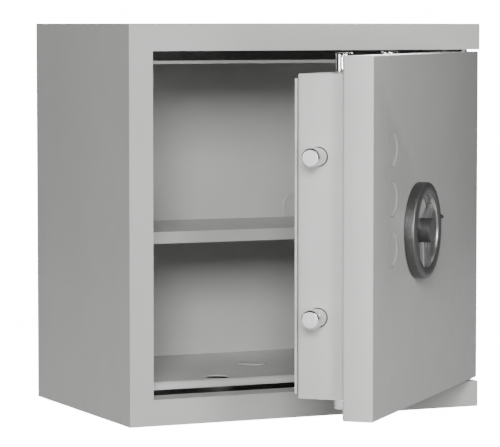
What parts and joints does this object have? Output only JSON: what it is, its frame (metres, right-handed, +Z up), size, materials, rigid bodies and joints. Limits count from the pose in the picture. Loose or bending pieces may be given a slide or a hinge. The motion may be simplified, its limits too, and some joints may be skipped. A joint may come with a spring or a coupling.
{
  "type": "wall safe",
  "caption": "Small steel safe with its door open: lined interior with a shelf, round locking bolts worked by a spoked ring handle, key lock and capped anchor wells.",
  "frame": {"origin": "centre of the cabinet's base, on the surface it stands on", "axes": "+Z up, -Y out of the doorway, +X towards the hinge side; the door is stored open by 45.7 degrees with its bolts thrown"},
  "size_m": [0.4485, 0.5755, 0.45],
  "materials": {
    "powder_coat": "light grey satin powder coat",
    "fire_board": "pale mineral board, unseen",
    "zinc_plate": "zinc plated, dull",
    "bright_steel": "polished, bright",
    "brushed_steel": "brushed, grey",
    "grey_plastic": "matt grey"
  },
  "bodies": {
    "cabinet": {"outer_casing": "powder_coat", "liner_floor": "powder_coat", "liner_ceiling": "powder_coat", "liner_left": "powder_coat", "liner_right": "powder_coat", "liner_back": "powder_coat", "fill_top": "fire_board", "fill_bottom": "fire_board", "fill_left": "fire_board", "fill_right": "fire_board", "fill_back": "fire_board", "shelf": "powder_coat", "shelf_peg_left_front": "zinc_plate", "shelf_peg_left_rear": "zinc_plate", "shelf_peg_right_front": "zinc_plate", "shelf_peg_right_rear": "zinc_plate", "rear_anchor_cap_left": "grey_plastic", "rear_anchor_cap_right": "grey_plastic", "floor_anchor_cap": "grey_plastic", "hinge_pin_bottom": "zinc_plate", "hinge_pin_top": "zinc_plate", "hinge_washer": "zinc_plate"},
    "door": {"door_panel": "powder_coat", "door_fill": "fire_board", "door_back_plate": "powder_coat", "blanking_disc_1": "powder_coat", "blanking_disc_2": "powder_coat", "blanking_disc_3": "powder_coat", "bolt_box": "powder_coat", "rear_cover": "powder_coat", "cover_post_1": "zinc_plate", "cover_post_2": "zinc_plate", "cover_post_3": "zinc_plate", "cover_post_4": "zinc_plate", "cover_screw_1": "zinc_plate", "cover_screw_2": "zinc_plate", "cover_screw_3": "zinc_plate", "cover_screw_4": "zinc_plate", "hinge_bush_bottom": "zinc_plate", "hinge_bush_top": "zinc_plate", "lock_case": "zinc_plate", "lock_cover": "zinc_plate", "keyhole_pin": "bright_steel"},
    "handle": {"handle_ring": "brushed_steel", "handle_hub": "brushed_steel", "handle_spindle": "zinc_plate", "crank_disc": "zinc_plate", "spindle_clip": "zinc_plate"},
    "side_bolts": {"side_bolt_upper": "bright_steel", "side_bolt_lower": "bright_steel", "side_bolt_carrier": "zinc_plate"},
    "top_bolts": {"top_bolt_left": "bright_steel", "top_bolt_right": "bright_steel", "top_bolt_carrier": "zinc_plate"},
    "bottom_bolts": {"bottom_bolt_left": "bright_steel", "bottom_bolt_right": "bright_steel", "bottom_bolt_carrier": "zinc_plate"},
    "lock_bolt": {"lock_bolt": "zinc_plate"},
    "lock_cam": {"lock_cam": "zinc_plate"},
    "keyhole_cover": {"keyhole_cover": "powder_coat"}
  },
  "joints": [
    {"name": "door_swing", "type": "hinge", "parent": "cabinet", "child": "door", "pos_m": [0.207, -0.133, 0], "axis": [0, 0, 1], "range_deg": [-45.7, 134.3]},
    {"name": "handle_turn", "type": "hinge", "parent": "door", "child": "handle", "pos_m": [0.05389, -0.31138, 0.2243], "axis": [0.7157, -0.6984, 0], "range_deg": [-90, 0]},
    {"name": "side_bolt_throw", "type": "slide", "parent": "door", "child": "side_bolts", "axis": [-0.6984, -0.7157, 0], "range_m": [-0.02, 0]},
    {"name": "top_bolt_throw", "type": "slide", "parent": "door", "child": "top_bolts", "axis": [0, 0, 1], "range_m": [-0.02, 0]},
    {"name": "bottom_bolt_throw", "type": "slide", "parent": "door", "child": "bottom_bolts", "axis": [0, 0, -1], "range_m": [-0.02, 0]},
    {"name": "key_turn", "type": "hinge", "parent": "door", "child": "lock_cam", "pos_m": [0.08016, -0.22719, 0.216], "axis": [0.7157, -0.6984, 0], "range_deg": [-90, 0]},
    {"name": "lock_bolt_throw", "type": "slide", "parent": "door", "child": "lock_bolt", "axis": [-0.6984, -0.7157, 0], "range_m": [0, 0.008]},
    {"name": "keyhole_cover_swing", "type": "hinge", "parent": "door", "child": "keyhole_cover", "pos_m": [0.10878, -0.25512, 0.234], "axis": [0.7157, -0.6984, 0], "range_deg": [-45, 90]}
  ],
  "couplings": [
    {"joint": "side_bolt_throw", "follows": "handle_turn", "m_per_rad": 0.01273},
    {"joint": "top_bolt_throw", "follows": "handle_turn", "m_per_rad": 0.01273},
    {"joint": "bottom_bolt_throw", "follows": "handle_turn", "m_per_rad": 0.01273},
    {"joint": "key_turn", "follows": "lock_bolt_throw", "rad_per_m": -196.3}
  ]
}
